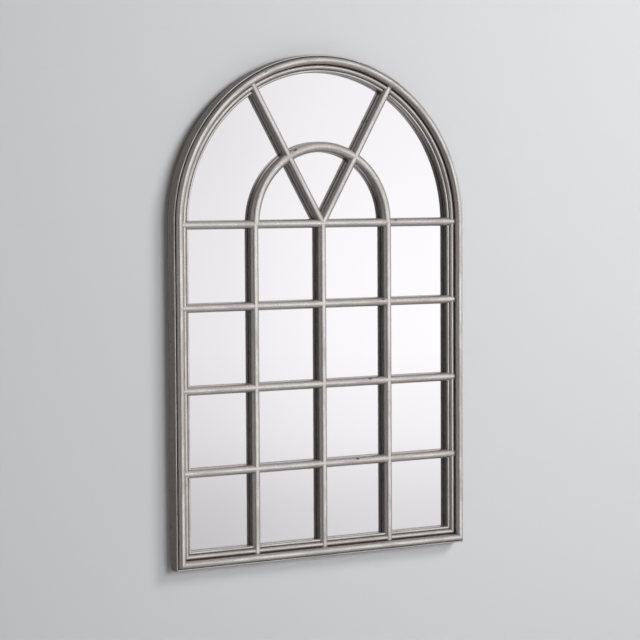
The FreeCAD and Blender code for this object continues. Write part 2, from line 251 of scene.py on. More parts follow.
@dataclass
class Strip:
    """A run of equal rings that becomes one closed piece."""

    name: str
    places: np.ndarray
    along: np.ndarray
    across: np.ndarray
    masks: dict[Mask, np.ndarray] = field(default_factory=dict)

    def build(self) -> Piece:
        """Makes the mesh with its ends closed, its lengthwise coordinates and its masks.

        Returns:
            The new object, linked to the scene.
        """
        rings, sides = self.places.shape[:2]
        faces, coordinates = [], []
        for i in range(rings - 1):
            for j in range(sides):
                next_side = (j + 1) % sides
                corners = [(i, j, j), (i, next_side, j + 1), (i + 1, next_side, j + 1), (i + 1, j, j)]
                faces.append(tuple(ring * sides + side for ring, side, _ in corners))
                coordinates += [(self.along[ring, side], self.across[k]) for ring, side, k in corners]
        for ring, order in ((0, range(sides - 1, -1, -1)), (rings - 1, range(sides))):
            faces.append(tuple(ring * sides + j for j in order))
            coordinates += [(self.along[ring, j], self.across[j]) for j in order]
        mesh = bpy.data.meshes.new(self.name)
        mesh.from_pydata(self.places.reshape(-1, 3).tolist(), [], faces)
        layer = mesh.uv_layers.new(name=UV_NAME)
        layer.data.foreach_set("uv", np.array(coordinates, np.float32).ravel() * MM)
        for mask, values in self.masks.items():
            attribute = mesh.attributes.new(mask.value, "FLOAT", "POINT")
            spread = np.broadcast_to(values, (rings, sides)).astype(np.float32)
            attribute.data.foreach_set("value", spread.ravel())
        mesh.validate()
        return MeshShop.finish(self.name, mesh)


class MeshShop:
    """Small jobs on meshes that several sub-assemblies need."""

    SHARP = math.radians(38)
    EASED_FROM = math.radians(40)
    WELD_REACH = 1e-6

    @classmethod
    def finish(cls, name: str, mesh: bpy.types.Mesh) -> Piece:
        """Turns the faces outwards, smooths them and links the object.

        Args:
            name: The piece's name.
            mesh: Its mesh, closed.

        Returns:
            The new object.
        """
        work = bmesh.new()
        work.from_mesh(mesh)
        bmesh.ops.recalc_face_normals(work, faces=work.faces)
        work.to_mesh(mesh)
        work.free()
        mesh.shade_smooth()
        mesh.set_sharp_from_angle(angle=cls.SHARP)
        return cls.link(name, mesh)

    @staticmethod
    def link(name: str, data: bpy.types.ID) -> Piece:
        """Makes an object from a mesh, a lamp or a camera and puts it in the scene."""
        made = bpy.data.objects.new(name, data)
        bpy.context.scene.collection.objects.link(made)
        return made

    @classmethod
    def ease_edges(cls, node: Piece, width: float) -> None:
        """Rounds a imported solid's sharp edges a little, with modifiers alone.

        Args:
            node: The solid's object.
            width: How wide the rounding is, in metres.
        """
        weld = node.modifiers.new("join", "WELD")
        weld.merge_threshold = cls.WELD_REACH
        bevel = node.modifiers.new("eased", "BEVEL")
        bevel.width = width
        bevel.segments = 2
        bevel.limit_method = "ANGLE"
        bevel.angle_limit = cls.EASED_FROM
        bevel.use_clamp_overlap = True


# ---------------------------------------------------------------- node groups shared by the finishes


class Tree:
    """A short way to write a node tree."""

    def __init__(self, tree: bpy.types.NodeTree) -> None:
        """Holds the tree that nodes are added to."""
        self.tree = tree

    def add(self, kind: str, inputs: dict | None = None, **settings: object) -> Node:
        """Adds a node.

        Args:
            kind: Blender's name of the node type.
            inputs: Values or sockets for its inputs, by name or number.
            settings: Values for the node's own properties.

        Returns:
            The node.
        """
        node = self.tree.nodes.new(kind)
        for key, value in settings.items():
            setattr(node, key, value)
        for key, value in (inputs or {}).items():
            self.feed(node.inputs[key], value)
        return node

    def feed(self, socket: Socket, value: object) -> None:
        """Links a socket to another, or sets its value.

        Args:
            socket: The input to feed.
            value: A socket, or a plain value.
        """
        if isinstance(value, Socket):
            self.tree.links.new(value, socket)
        else:
            socket.default_value = value

    def math(self, operation: str, *values: object, clamp: bool = False) -> Socket:
        """Adds a Math node and gives its result."""
        settings = {"operation": operation, "use_clamp": clamp}
        return self.add("ShaderNodeMath", dict(enumerate(values)), **settings).outputs[0]

    def times(self, first: object, second: object, clamp: bool = False) -> Socket:
        """Multiplies two values."""
        return self.math("MULTIPLY", first, second, clamp=clamp)

    def plus(self, first: object, second: object, clamp: bool = False) -> Socket:
        """Adds two values."""
        return self.math("ADD", first, second, clamp=clamp)

    def less(self, first: object, second: object, clamp: bool = False) -> Socket:
        """Takes the second value from the first."""
        return self.math("SUBTRACT", first, second, clamp=clamp)

    def larger(self, first: object, second: object) -> Socket:
        """Gives the larger of two values."""
        return self.math("MAXIMUM", first, second)

    def mix(self, factor: object, first: object, second: object) -> Socket:
        """Adds a colour mix and gives its result."""
        return self.add("ShaderNodeMix", {0: factor, 6: first, 7: second}, data_type="RGBA").outputs[2]

    def ranged(
        self, value: object, low: float, high: float, to_low: float = 0.0, to_high: float = 1.0
    ) -> Socket:
        """Adds a smooth Map Range from one span to another and gives its result."""
        inputs = {"Value": value, "From Min": low, "From Max": high, "To Min": to_low, "To Max": to_high}
        return self.add("ShaderNodeMapRange", inputs, interpolation_type="SMOOTHSTEP").outputs["Result"]

    def noise(self, vector: object, scale: object, detail: float, rough: float) -> Socket:
        """Adds a noise texture and gives its value."""
        inputs = {"Vector": vector, "Scale": scale, "Detail": detail, "Roughness": rough}
        return self.add("ShaderNodeTexNoise", inputs).outputs["Fac"]

    def stretched(self, vector: object, x: object, y: object, z: object = 1.0) -> Socket:
        """Scales a vector by three numbers and gives the result."""
        factors = self.add("ShaderNodeCombineXYZ", {0: x, 1: y, 2: z}).outputs[0]
        return self.add("ShaderNodeVectorMath", {0: vector, 1: factors}, operation="MULTIPLY").outputs[0]


Inputs = bpy.types.NodeInputs
Body = Callable[[Tree, Inputs], tuple]
Defaults = dict[str, float | None]


class Effects:
    """Node groups that put out masks and heights, each built once and placed where it is needed."""

    def __init__(self) -> None:
        """Starts with no group built."""
        self.built: dict[str, bpy.types.NodeTree] = {}

    @staticmethod
    def group(name: str, defaults: Defaults, outputs: Sequence[str], body: Body) -> bpy.types.NodeTree:
        """Builds a group.

        Args:
            name: The group's name.
            defaults: Its inputs, a number's default or None for a vector.
            outputs: The names of its outputs.
            body: Fills the group from its tree and inputs, and gives its outputs in order.

        Returns:
            The group.
        """
        tree = bpy.data.node_groups.new(name, "ShaderNodeTree")
        for key, default in defaults.items():
            kind = "NodeSocketVector" if default is None else "NodeSocketFloat"
            socket = tree.interface.new_socket(name=key, in_out="INPUT", socket_type=kind)
            if default is not None:
                socket.default_value = default
        for key in outputs:
            tree.interface.new_socket(name=key, in_out="OUTPUT", socket_type="NodeSocketFloat")
        work = Tree(tree)
        entry, way_out = work.add("NodeGroupInput"), work.add("NodeGroupOutput")
        for key, socket in zip(outputs, body(work, entry.outputs)):
            work.feed(way_out.inputs[key], socket)
        return tree

    def place(
        self, work: Tree, name: str, defaults: Defaults, outputs: Sequence[str], body: Body, given: dict
    ) -> Node:
        """Puts a group in a material, built the first time that it is asked for.

        Args:
            work: The material's tree.
            name: The group's name.
            defaults: Its inputs, a number's default or None for a vector.
            outputs: The names of its outputs.
            body: Fills the group.
            given: The material's own values or sockets for some inputs.

        Returns:
            The group's node.
        """
        if name not in self.built:
            self.built[name] = self.group(name, defaults, outputs, body)
        return work.add("ShaderNodeGroup", given, node_tree=self.built[name])

    def streaks(self, work: Tree, **given: object) -> Node:
        """Brushed streaks that run along a member.

        Args:
            work: The material's tree.
            given: The material's own values or sockets for some inputs.

        Returns:
            The group's node, with a mask and a height.
        """

        def body(inner: Tree, inputs: Inputs) -> tuple:
            """Mixes long and short streaks.

            Args:
                inner: The group's tree.
                inputs: The group's inputs.

            Returns:
                The mask and the height.
            """
            lengthwise = inner.math("DIVIDE", inputs["Fineness"], inputs["Stretch"])
            fine = inner.stretched(inputs["Vector"], lengthwise, inputs["Fineness"])
            short = inner.noise(fine, 1.0, 4.0, 0.6)
            long = inner.noise(inner.stretched(fine, 0.35, 0.22), 1.0, 2.0, 0.5)
            both = inner.plus(inner.times(short, 0.55), inner.times(long, 0.45))
            mask = inner.plus(inner.times(inner.less(both, 0.5), inputs["Contrast"]), 0.5, clamp=True)
            return mask, short

        defaults = {"Vector": None, "Stretch": 12.0, "Fineness": 900.0, "Contrast": 2.2}
        return self.place(work, "lengthwise_streaks", defaults, ["Mask", "Height"], body, given)

    def wax_and_shade(self, work: Tree, **given: object) -> Node:
        """Dark wax in the hollows, together with painted shade in the hollows and in the creases where
        members meet.

        Args:
            work: The material's tree.
            given: The material's own values or sockets for some inputs.

        Returns:
            The group's node, with a mask.
        """

        def body(inner: Tree, inputs: Inputs) -> tuple:
            """Breaks up the hollow mask with noise."""
            patchy = inner.noise(inner.stretched(inputs["Vector"], 0.35, 1.0), inputs["Scale"], 4.0, 0.6)
            raised = inner.plus(inputs["Cavity"], inner.times(inner.less(patchy, 0.5), inputs["Breakup"]))
            return (inner.times(inner.ranged(raised, 0.2, 0.72), inputs["Amount"], clamp=True),)

        defaults = {"Vector": None, "Cavity": 0.0, "Amount": 1.0, "Breakup": 0.55, "Scale": 260.0}
        return self.place(work, "hollow_wax_and_shade", defaults, ["Mask"], body, given)

    def rubbing_and_highlight(self, work: Tree, **given: object) -> Node:
        """Metal rubbed brighter along the crests, partly real wear and partly a painted highlight on them.

        Args:
            work: The material's tree.
            given: The material's own values or sockets for some inputs.

        Returns:
            The group's node, with a mask.
        """

        def body(inner: Tree, inputs: Inputs) -> tuple:
            """Fades the crest mask in and out along the member."""
            worn = inner.noise(inner.stretched(inputs["Vector"], 0.3, 1.0), inputs["Scale"], 3.0, 0.5)
            mask = inner.times(inputs["Crest"], inner.ranged(worn, 0.3, 0.62))
            return (inner.times(mask, inputs["Amount"], clamp=True),)

        defaults = {"Vector": None, "Crest": 0.0, "Amount": 0.8, "Scale": 45.0}
        return self.place(work, "rubbed_and_highlit_crests", defaults, ["Mask"], body, given)

    def flecks(self, work: Tree, **given: object) -> Node:
        """Small scattered spots, used for nicks, dust and fibres.

        Args:
            work: The material's tree.
            given: The material's own values or sockets for some inputs.

        Returns:
            The group's node, with a mask and a height.
        """

        def body(inner: Tree, inputs: Inputs) -> tuple:
            """Keeps only the middles of a few cells.

            Args:
                inner: The group's tree.
                inputs: The group's inputs.

            Returns:
                The mask and the height.
            """
            cells = inner.add("ShaderNodeTexVoronoi", {"Vector": inputs["Vector"], "Scale": inputs["Scale"]})
            draw = inner.add("ShaderNodeSeparateColor", {0: cells.outputs["Color"]})
            chosen = inner.math("LESS_THAN", draw.outputs[0], inputs["Share"])
            size = inner.times(inputs["Size"], inner.plus(0.4, draw.outputs[1]))
            inside = inner.less(1.0, inner.math("DIVIDE", cells.outputs["Distance"], size), clamp=True)
            mask = inner.times(chosen, inside)
            return mask, inner.times(mask, -1.0)

        defaults = {"Vector": None, "Scale": 120.0, "Share": 0.04, "Size": 0.22}
        return self.place(work, "scattered_flecks", defaults, ["Mask", "Height"], body, given)

    def scratches(self, work: Tree, **given: object) -> Node:
        """Fine crossing scratches of handled metal.

        Args:
            work: The material's tree.
            given: The material's own values or sockets for some inputs.

        Returns:
            The group's node, with a mask and a height.
        """

        def body(inner: Tree, inputs: Inputs) -> tuple:
            """Lays three sets of thin lines over each other.

            Args:
                inner: The group's tree.
                inputs: The group's inputs.

            Returns:
                The mask and the height.
            """
            lines = []
            for turn, stretch in ((0.35, 26.0), (-0.9, 34.0), (1.7, 22.0)):
                wanted = {"Vector": inputs["Vector"], "Angle": turn}
                turned = inner.add("ShaderNodeVectorRotate", wanted, rotation_type="Y_AXIS").outputs[0]
                lengthwise = inner.math("DIVIDE", inputs["Scale"], stretch)
                thin = inner.stretched(turned, inputs["Scale"], 1.0, lengthwise)
                lines.append(inner.ranged(inner.noise(thin, 1.0, 2.0, 0.5), 0.62, 0.72))
            brightest = inner.larger(inner.larger(lines[0], lines[1]), lines[2])
            mask = inner.times(brightest, inputs["Amount"], clamp=True)
            return mask, inner.times(mask, -1.0)

        defaults = {"Vector": None, "Scale": 2600.0, "Amount": 0.6}
        return self.place(work, "fine_scratches", defaults, ["Mask", "Height"], body, given)

    def clouding(self, work: Tree, **given: object) -> Socket:
        """Slow uneven changes over a surface, as one mask.

        Args:
            work: The material's tree.
            given: The material's own values or sockets for some inputs.

        Returns:
            The mask's socket.
        """

        def body(inner: Tree, inputs: Inputs) -> tuple:
            """Spreads a soft noise to its full range."""
            soft = inner.noise(inputs["Vector"], inputs["Scale"], 4.0, inputs["Roughness"])
            return (inner.ranged(soft, 0.3, 0.7),)

        defaults = {"Vector": None, "Scale": 12.0, "Roughness": 0.5}
        return self.place(work, "clouding", defaults, ["Mask"], body, given).outputs["Mask"]


# ---------------------------------------------------------------- finishes


def shade(red: float, green: float, blue: float) -> Colour:
    """An opaque linear colour."""
    return (red, green, blue, 1.0)


class Coat:
    """A material while it is made: its tree and its one shader."""

    def __init__(self, name: str) -> None:
        """Starts an empty material with a Principled shader.

        Args:
            name: The material's name.
        """
        self.material = bpy.data.materials.new(name)
        self.material.use_nodes = True
        self.material.node_tree.nodes.clear()
        self.work = Tree(self.material.node_tree)
        self.shader = self.work.add("ShaderNodeBsdfPrincipled")
        self.output = self.work.add("ShaderNodeOutputMaterial", {"Surface": self.shader.outputs[0]})

    def space(self) -> Socket:
        """Places on the piece in the row frame, in metres."""
        return self.work.add("ShaderNodeTexCoord").outputs["Object"]

    def give(self, **inputs: object) -> Material:
        """Sets or feeds the shader's inputs.

        Args:
            inputs: Values or sockets, with underscores for the spaces in the inputs' names.

        Returns:
            The material.
        """
        for key, value in inputs.items():
            self.work.feed(self.shader.inputs[key.replace("_", " ")], value)
        return self.material

    def bump(self, height: object, strength: float, distance: float) -> Socket:
        """Turns a height into a normal."""
        inputs = {"Height": height, "Strength": strength, "Distance": distance}
        return self.work.add("ShaderNodeBump", inputs).outputs["Normal"]


@dataclass(frozen=True)
class SilverLeaf:
    """Warm silver leaf, brushed along each member, with dark wax and painted shade in the hollows and
    creases, crests painted brighter as rubbed wear and a painted highlight, and a bare wooden back.
    """

    light: Colour = shade(0.74, 0.70, 0.67)
    dark: Colour = shade(0.52, 0.485, 0.455)
    rosy: Colour = shade(0.68, 0.61, 0.60)
    mossy: Colour = shade(0.62, 0.61, 0.56)
    # colour of the brighter crests: partly rubbed wear, partly a painted highlight
    bright: Colour = shade(0.94, 0.905, 0.885)
    # dark colour of wax and specks, also used as painted shade in hollows and creases
    wax_and_shade_colour: Colour = shade(0.042, 0.032, 0.030)
    wood: Colour = shade(0.12, 0.085, 0.06)
    pale_wood: Colour = shade(0.20, 0.15, 0.105)
    tint_share: float = 0.55
    speck_share: float = 0.5
    nick_gain: float = 1.6
    nick_depth: float = 2.5
    roughness: float = 0.3
    streak_matt: float = -0.16
    wax_and_shade_matt: float = 0.3
    wood_matt: float = 0.35
    polish: float = 0.08
    metal: float = 0.86
    wax_and_shade_cover: float = 0.85
    back_plane: float = -0.0078
    back_blend: float = 0.0005

    def make(self, effects: Effects) -> Material:
        """Builds the material.

        Args:
            effects: The shared node groups.

        Returns:
            The material.
        """
        coat = Coat("silver_leaf")
        work, space = coat.work, coat.space()
        lengthwise = work.add("ShaderNodeUVMap", uv_map=UV_NAME).outputs[0]
        cavity, crest = (work.add("ShaderNodeAttribute", attribute_name=m.value).outputs["Fac"] for m in Mask)
        streaks = effects.streaks(work, Vector=lengthwise)
        tint = effects.clouding(work, Vector=work.stretched(lengthwise, 0.5, 1.6), Scale=26.0)
        cloud = effects.clouding(work, Vector=space, Scale=9.0)
        wax_and_shade = effects.wax_and_shade(work, Vector=lengthwise, Cavity=cavity).outputs["Mask"]
        rub_and_highlight = effects.rubbing_and_highlight(work, Vector=lengthwise, Crest=crest).outputs["Mask"]
        nicks = effects.flecks(work, Vector=work.stretched(lengthwise, 0.45, 1.0), Scale=85.0, Share=0.035)
        specks = effects.flecks(work, Vector=space, Scale=420.0, Share=0.06, Size=0.3).outputs["Mask"]
        # wax and painted shade in the hollows and creases, with dark nicks
        dirt_and_shade = work.larger(wax_and_shade, work.times(nicks.outputs["Mask"], self.nick_gain, clamp=True))
        leaf = work.mix(streaks.outputs["Mask"], self.dark, self.light)
        leaf = work.mix(work.times(cloud, self.tint_share), leaf, work.mix(tint, self.rosy, self.mossy))
        # brighter crests: rubbed wear and a painted highlight
        leaf = work.mix(rub_and_highlight, leaf, self.bright)
        leaf = work.mix(dirt_and_shade, work.mix(work.times(specks, self.speck_share), leaf, self.wax_and_shade_colour), self.wax_and_shade_colour)
        depth = work.add("ShaderNodeSeparateXYZ", {0: space}).outputs[1]
        bare = work.ranged(depth, self.back_plane, self.back_plane + self.back_blend)
        grain = work.noise(work.stretched(lengthwise, 60.0, 900.0), 1.0, 3.0, 0.6)
        leafed = work.less(1.0, work.larger(work.times(dirt_and_shade, self.wax_and_shade_cover), bare), clamp=True)
        brushed = work.less(streaks.outputs["Mask"], 0.5)
        rough = work.plus(self.roughness, work.times(brushed, self.streak_matt))
        rough = work.plus(rough, work.times(dirt_and_shade, self.wax_and_shade_matt))
        rough = work.less(rough, work.times(rub_and_highlight, self.polish))
        height = work.plus(streaks.outputs["Height"], work.times(nicks.outputs["Height"], self.nick_depth))
        return coat.give(
            Base_Color=work.mix(bare, leaf, work.mix(grain, self.wood, self.pale_wood)),
            Metallic=work.times(leafed, self.metal),
            Roughness=work.plus(rough, work.times(bare, self.wood_matt), clamp=True),
            Normal=coat.bump(height, 0.22, 0.0004),
        )


@dataclass(frozen=True)
class MirrorGlass:
    """Silvered float glass, clean, with the faintest haze."""

    tint: Colour = shade(0.955, 0.935, 0.965)
    haze: Colour = shade(0.92, 0.905, 0.93)
    haze_share: float = 0.3
    dust_share: float = 0.15
    dust_matt: float = 0.03

    def make(self, effects: Effects) -> Material:
        """Builds the material.

        Args:
            effects: The shared node groups.

        Returns:
            The material.
        """
        coat = Coat("mirror_glass")
        work, space = coat.work, coat.space()
        cloud = effects.clouding(work, Vector=space, Scale=5.0)
        dust = effects.flecks(work, Vector=space, Scale=260.0, Share=0.02, Size=0.12).outputs["Mask"]
        base = work.mix(work.times(cloud, self.haze_share), self.tint, self.haze)
        return coat.give(
            Base_Color=work.mix(work.times(dust, self.dust_share), base, self.haze),
            Metallic=1.0,
            Roughness=work.times(dust, self.dust_matt),
        )


@dataclass(frozen=True)
class Hardboard:
    """Pressed brown fibre board with a smooth face."""

    pale: Colour = shade(0.33, 0.205, 0.115)
    deep: Colour = shade(0.17, 0.095, 0.05)
    fleck: Colour = shade(0.42, 0.28, 0.17)
    cloud_share: float = 0.2
    fibre_share: float = 0.9
    fleck_share: float = 0.5

    def make(self, effects: Effects) -> Material:
        """Builds the material.

        Args:
            effects: The shared node groups.

        Returns:
            The material.
        """
        coat = Coat("hardboard")
        work, space = coat.work, coat.space()
        cloud = effects.clouding(work, Vector=space, Scale=14.0, Roughness=0.65)
        fibres = work.noise(work.stretched(space, 700.0, 700.0, 260.0), 1.0, 4.0, 0.7)
        flecks = effects.flecks(work, Vector=space, Scale=330.0, Share=0.22, Size=0.35).outputs["Mask"]
        tone = work.plus(work.times(cloud, self.cloud_share), work.times(fibres, self.fibre_share))
        base = work.mix(tone, self.deep, self.pale)
        return coat.give(
            Base_Color=work.mix(work.times(flecks, self.fleck_share), base, self.fleck),
            Roughness=work.ranged(fibres, 0.3, 0.7, 0.42, 0.62),
            Normal=coat.bump(fibres, 0.25, 0.0003),
        )


@dataclass(frozen=True)
class PlatedMetal:
    """A plated fitting: its colour, how clouded the plating is and how scratched."""

    name: str
    bright: Colour
    dull: Colour
    roughness: float = 0.3
    wear: float = 0.5
    tarnish: Colour = shade(0.12, 0.11, 0.1)
    tarnish_share: float = 0.35
    scratch_share: float = 0.3
    cloud_matt: float = -0.08
    scratch_matt: float = 0.16

    def make(self, effects: Effects) -> Material:
        """Builds the material.

        Args:
            effects: The shared node groups.

        Returns:
            The material.
        """
        coat = Coat(self.name)
        work, space = coat.work, coat.space()
        cloud = effects.clouding(work, Vector=space, Scale=130.0, Roughness=0.6)
        scratches = effects.scratches(work, Vector=space, Amount=self.wear)
        lines = scratches.outputs["Mask"]
        spots = effects.flecks(work, Vector=space, Scale=500.0, Share=0.1, Size=0.3).outputs["Mask"]
        plating = work.mix(cloud, self.dull, self.bright)
        base = work.mix(work.times(spots, self.tarnish_share), plating, self.tarnish)
        spread = work.plus(work.times(cloud, self.cloud_matt), work.times(lines, self.scratch_matt))
        return coat.give(
            Base_Color=work.mix(work.times(lines, self.scratch_share), base, self.bright),
            Metallic=1.0,
            Roughness=work.plus(self.roughness, spread, clamp=True),
            Normal=coat.bump(scratches.outputs["Height"], 0.2, 0.0001),
        )


@dataclass(frozen=True)
class Felt:
    """Dense dark felt of the wall pads."""

    dark: Colour = shade(0.02, 0.019, 0.02)
    pale: Colour = shade(0.075, 0.07, 0.07)
    lint: Colour = shade(0.22, 0.21, 0.2)
    lint_share: float = 0.6

    def make(self, effects: Effects) -> Material:
        """Builds the material.

        Args:
            effects: The shared node groups.

        Returns:
            The material.
        """
        coat = Coat("bumper_felt")
        work, space = coat.work, coat.space()
        tangle = work.noise(space, 2400.0, 5.0, 0.75)
        lint = effects.flecks(work, Vector=space, Scale=900.0, Share=0.12, Size=0.4).outputs["Mask"]
        base = work.mix(tangle, self.dark, self.pale)
        return coat.give(
            Base_Color=work.mix(work.times(lint, self.lint_share), base, self.lint),
            Roughness=work.ranged(tangle, 0.2, 0.8, 0.85, 1.0),
            Sheen_Weight=0.35,
            Normal=coat.bump(tangle, 0.6, 0.0006),
        )


@dataclass(frozen=True)
class Beech:
    """Pale turned beech with its grain along each dowel."""

    pale: Colour = shade(0.56, 0.36, 0.19)
    deep: Colour = shade(0.36, 0.2, 0.095)
    pore_share: float = 0.5

    def make(self, effects: Effects) -> Material:
        """Builds the material.

        Args:
            effects: The shared node groups.

        Returns:
            The material.
        """
        coat = Coat("beech")
        work, space = coat.work, coat.space()
        grain = work.noise(work.stretched(space, 900.0, 900.0, 90.0), 1.0, 4.0, 0.6)
        pores = effects.flecks(work, Vector=space, Scale=1500.0, Share=0.2, Size=0.3).outputs["Mask"]
        base = work.mix(grain, self.deep, self.pale)
        return coat.give(
            Base_Color=work.mix(work.times(pores, self.pore_share), base, self.deep),
            Roughness=work.ranged(grain, 0.3, 0.7, 0.5, 0.7),
            Normal=coat.bump(grain, 0.3, 0.0002),
        )


@dataclass(frozen=True)
class Plaster:
    """Pale matt paint of the studio's wall and floor. A level of its own evens out how the camera sees it."""

    name: str
    colour: Colour
    one_sided: bool = False
    seen_level: float = 0.0
    seen_colour: Colour = shade(0.14, 0.14, 0.142)

    def make(self) -> Material:
        """Builds the material, open from behind if it is one-sided."""
        coat = Coat(self.name)
        work, shader = coat.work, coat.shader
        coat.give(Base_Color=self.colour, Roughness=0.9, Specular_IOR_Level=0.1)
        if self.seen_level:
            seen = work.add("ShaderNodeLightPath").outputs["Is Camera Ray"]
            level = work.times(seen, self.seen_level)
            base = work.mix(seen, self.colour, self.seen_colour)
            coat.give(Base_Color=base, Emission_Color=self.colour, Emission_Strength=level)
        if self.one_sided:
            back = work.add("ShaderNodeNewGeometry").outputs["Backfacing"]
            clear = work.add("ShaderNodeBsdfTransparent").outputs[0]
            both = work.add("ShaderNodeMixShader", {0: back, 1: shader.outputs[0], 2: clear})
            work.feed(coat.output.inputs["Surface"], both.outputs[0])
        return coat.material


@dataclass
class FinishShelf:
    """Every finish of the mirror, made once, by the record's slot names."""

    effects: Effects = field(default_factory=Effects)
    made: dict[str, Material] = field(default_factory=dict)

    def stock(self) -> None:
        """Makes each finish."""
        zinc, nickel, brass = shade(0.66, 0.67, 0.68), shade(0.72, 0.71, 0.69), shade(0.78, 0.6, 0.27)
        for slot, finish in {
            "silver_leaf": SilverLeaf(),
            "mirror_glass": MirrorGlass(),
            "hardboard": Hardboard(),
            "beech": Beech(),
            "zinc_steel": PlatedMetal("zinc_steel", zinc, shade(0.44, 0.45, 0.47), 0.34, 0.6),
            "bright_steel": PlatedMetal("bright_steel", nickel, shade(0.56, 0.55, 0.54), 0.2, 0.35),
            "brass_screws": PlatedMetal("brass_screws", brass, shade(0.6, 0.45, 0.24), 0.28, 0.4),
            "bumper_felt": Felt(),
        }.items():
            self.made[slot] = finish.make(self.effects)

    def dress(self, piece: Piece, slot: str) -> None:
        """Gives a piece its finish and names the record's slot.

        Args:
            piece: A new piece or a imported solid.
            slot: The record's slot.
        """
        piece.data.materials.clear()
        piece.data.materials.append(self.made[slot])


# ---------------------------------------------------------------- sections and members


@dataclass(frozen=True)
class Moulding:
    """The frame's section in millimetres: u inwards from the outer edge, v forwards from the back."""

    face_width: float = 42.0
    side_height: float = 28.0
    arris_radius: float = 2.0
    quirk_width: float = 1.0
    quirk_floor: float = 26.5
    bead_radius: float = 8.5
    bead_shoulder: float = 31.5
    groove_floor: float = 25.0
    ridge_a: Triple = (29.0, 22.0, 5.6)
    ridge_b: Triple = (38.4, 19.4, 3.6)
    valley_floor: float = 21.6
    glass_front: float = 6.0
    glass_back: float = 3.0
    glass_lap: float = 8.0
    board_lap: float = 17.0

    @property
    def bead_u(self) -> float:
        """Where the big bead's crown is."""
        return 2 * self.arris_radius + self.quirk_width + self.bead_radius

    @property
    def groove_u(self) -> float:
        """Where the groove inside the big bead starts."""
        return self.bead_u + self.bead_radius

    @staticmethod
    def ridge(spec: Triple, from_v: float, to_v: float) -> list[Pair]:
        """A round ridge's arc from one height up and over to another.

        Args:
            spec: The ridge's centre u, centre v and radius.
            from_v: The height where it starts, on its outer side.
            to_v: The height where it ends.

        Returns:
            The arc's points.
        """
        u, v, radius = spec
        start = 180 - math.degrees(math.asin((from_v - v) / radius))
        return arc((u, v), radius, start, math.degrees(math.asin((to_v - v) / radius)))

    def section(self) -> Section:
        """The whole outline from the back's outer edge over the front to the rebates."""
        arris_end = 2 * self.arris_radius
        bead_start = arris_end + self.quirk_width
        glass_edge, board_edge = self.face_width - self.glass_lap, self.face_width - self.board_lap
        points = [
            (0.0, 0.0),
            *arc((self.arris_radius, self.side_height), self.arris_radius, 180, 0, 14),
            (arris_end, self.quirk_floor),
            (bead_start, self.quirk_floor),
            *arc((self.bead_u, self.bead_shoulder), self.bead_radius, 180, 0, 40),
            (self.groove_u, self.groove_floor),
            *self.ridge(self.ridge_a, self.groove_floor, self.valley_floor),
            *self.ridge(self.ridge_b, self.valley_floor, self.ridge_b[1]),
            (self.face_width, self.glass_front),
            (glass_edge, self.glass_front),
            (glass_edge, self.glass_back),
            (board_edge, self.glass_back),
            (board_edge, 0.0),
        ]
        # hollows that are darkened with wax and painted shade
        hollows = (
            (arris_end + self.quirk_width / 2, self.quirk_floor, 2.6),
            (self.groove_u + 0.9, self.groove_floor, 3.1),
            (self.ridge_a[0] + self.ridge_a[2], self.valley_floor, 1.5),
            (self.face_width, self.glass_front, 2.0),
        )
        # crests that are painted brighter: rubbed wear and a painted highlight
        ridges = (
            (self.arris_radius, self.side_height + self.arris_radius, 1.5),
            (self.bead_u, self.bead_shoulder + self.bead_radius, 4.0),
            (self.ridge_a[0], self.ridge_a[1] + self.ridge_a[2], 1.6),
            (self.ridge_b[0], self.ridge_b[1] + self.ridge_b[2], 1.4),
        )
        return Section(tuple(points), hollows, ridges)

    def height(self, u: np.ndarray) -> np.ndarray:
        """The front's height at distances inwards from the outer edge.

        Args:
            u: The distances.

        Returns:
            Heights above the back plane, far below it where there is no wood.
        """
        front = [(p, q) for p, q in self.section().corners if q >= self.ridge_b[1] - 0.01]
        across, heights = np.array(front).T
        return np.where((u >= 0) & (u <= self.face_width), np.interp(u, across, heights), NO_WOOD)


@dataclass(frozen=True)
class BarSection:
    """A glazing bar's D section, centred, its foot on the glass."""

    width: float
    crown: float
    shoulder: float = 18.5
    foot: float = 6.0

    @property
    def radius(self) -> float:
        """The crown's radius."""
        rise = self.crown - self.shoulder
        return ((self.width / 2) ** 2 + rise**2) / (2 * rise)

    def section(self) -> Section:
        """The closed outline, with the hollows at its foot and the ridge on its crown."""
        half, centre = self.width / 2, self.crown - self.radius
        start = math.degrees(math.asin((self.shoulder - centre) / self.radius))
        crown = arc((0.0, centre), self.radius, 180 - start, start, 40)
        points = [(-half, self.foot), *crown, (half, self.foot)]
        hollows = ((-half, self.foot, 2.4), (half, self.foot, 2.4))
        return Section(tuple(points), hollows, ((0.0, self.crown, 3.4),))

    def height(self, offset: np.ndarray) -> np.ndarray:
        """The bar's height at distances from its middle line, or far below beside it."""
        over = self.crown - self.radius + np.sqrt(np.maximum(self.radius**2 - offset**2, 0.0))
        return np.where(np.abs(offset) <= self.width / 2, over, NO_WOOD)


@dataclass(frozen=True)
class Recess:
    """A shallow bed for a metal plate in a member's back, from one place along it to another."""

    start: float
    end: float
    limits: Limits
    depth: float = 2.0

    def holds(self, run: float) -> bool:
        """Whether a place along the member is inside the bed."""
        return self.start <= run <= self.end


